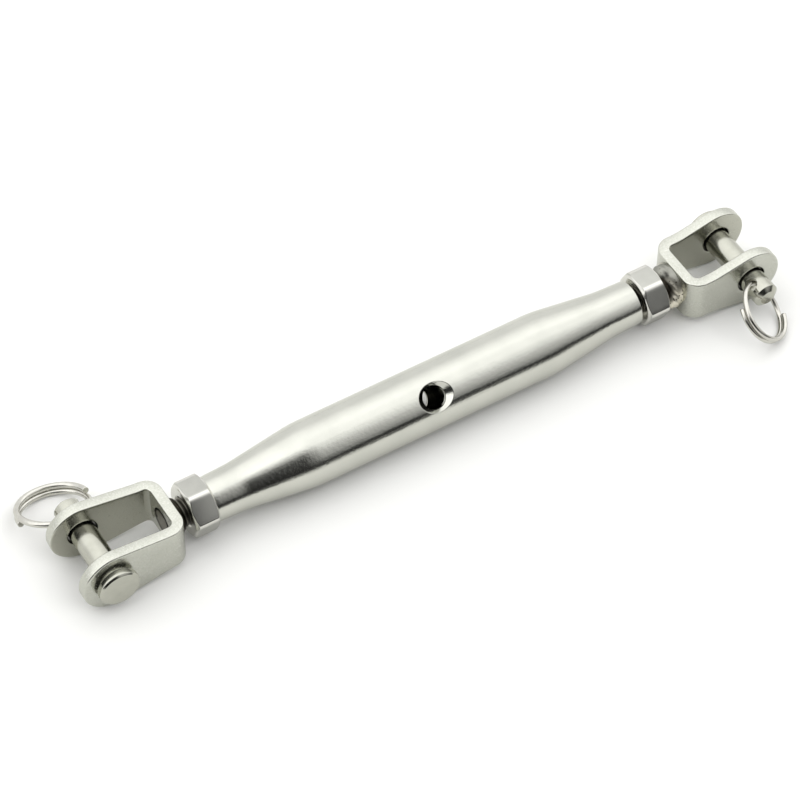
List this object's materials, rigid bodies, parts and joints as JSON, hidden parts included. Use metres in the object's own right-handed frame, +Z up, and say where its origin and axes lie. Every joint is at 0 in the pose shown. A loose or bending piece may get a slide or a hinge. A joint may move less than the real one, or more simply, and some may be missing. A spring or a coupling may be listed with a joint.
{
  "type": "turnbuckle",
  "caption": "Closed-body turnbuckle of stainless steel: swaged tube with a tommy-bar hole, threaded studs with lock nuts, and strap jaws with clevis pins held by split rings.",
  "frame": {"origin": "where the axis of the tommy-bar hole crosses the axis of the barrel, at the barrel's middle", "axes": "+X along the barrel from the left jaw to the right jaw, +Y along the clevis pins, away from the side that the picture was taken from, +Z up from the surface that the fitting lies on"},
  "size_m": [0.168, 0.046, 0.014],
  "materials": {
    "tube": "satin polished stainless steel",
    "strap": "tumbled stainless strip with sheared edges",
    "thread": "rolled stainless thread",
    "weld": "brushed weld metal, slightly straw coloured",
    "nut": "plain stainless, bright corners",
    "pin": "turned and polished stainless",
    "wire": "bright drawn stainless wire"
  },
  "bodies": {
    "left_fork": {"left_fork_strap": "strap", "left_threaded_stud": "thread", "left_weld_bead": "weld"},
    "left_lock_nut": {"left_lock_nut": "nut"},
    "barrel": {"barrel": "tube"},
    "right_fork": {"right_fork_strap": "strap", "right_threaded_stud": "thread", "right_weld_bead": "weld"},
    "right_lock_nut": {"right_lock_nut": "nut"},
    "left_clevis_pin": {"left_clevis_pin": "pin"},
    "right_clevis_pin": {"right_clevis_pin": "pin"},
    "left_split_ring": {"left_split_ring": "wire"},
    "right_split_ring": {"right_split_ring": "wire"}
  },
  "joints": [
    {"name": "left_nut_travel", "type": "slide", "parent": "left_fork", "child": "left_lock_nut", "axis": [1, 0, 0], "range_m": [-0.00094, 0.0273]},
    {"name": "barrel_turn", "type": "hinge", "parent": "left_lock_nut", "child": "barrel", "pos_m": [0, 0, 0], "axis": [1, 0, 0], "range_deg": [-370, 10800]},
    {"name": "right_fork_travel", "type": "slide", "parent": "left_fork", "child": "right_fork", "axis": [1, 0, 0], "range_m": [-0.00186, 0.0544]},
    {"name": "right_nut_turn", "type": "hinge", "parent": "right_fork", "child": "right_lock_nut", "pos_m": [0.05425, 0, 0], "axis": [1, 0, 0], "range_deg": [0, 370]},
    {"name": "left_pin_turn", "type": "hinge", "parent": "left_fork", "child": "left_clevis_pin", "pos_m": [-0.07557, 0, 0], "axis": [0, 1, 0], "continuous": true},
    {"name": "right_pin_turn", "type": "hinge", "parent": "right_fork", "child": "right_clevis_pin", "pos_m": [0.07605, 0, 0], "axis": [0, 1, 0], "continuous": true},
    {"name": "left_ring_swing", "type": "hinge", "parent": "left_clevis_pin", "child": "left_split_ring", "pos_m": [-0.07557, 0.00988, 0], "axis": [0.9925, 0, -0.1219], "range_deg": [-60, 100]},
    {"name": "right_ring_swing", "type": "hinge", "parent": "right_clevis_pin", "child": "right_split_ring", "pos_m": [0.07605, -0.01027, 0], "axis": [-0.766, 0, 0.6428], "range_deg": [-60, 100]}
  ],
  "couplings": [
    {"joint": "left_nut_travel", "follows": "right_fork_travel", "ratio": 0.5},
    {"joint": "barrel_turn", "follows": "right_fork_travel", "rad_per_m": 3463.2}
  ]
}
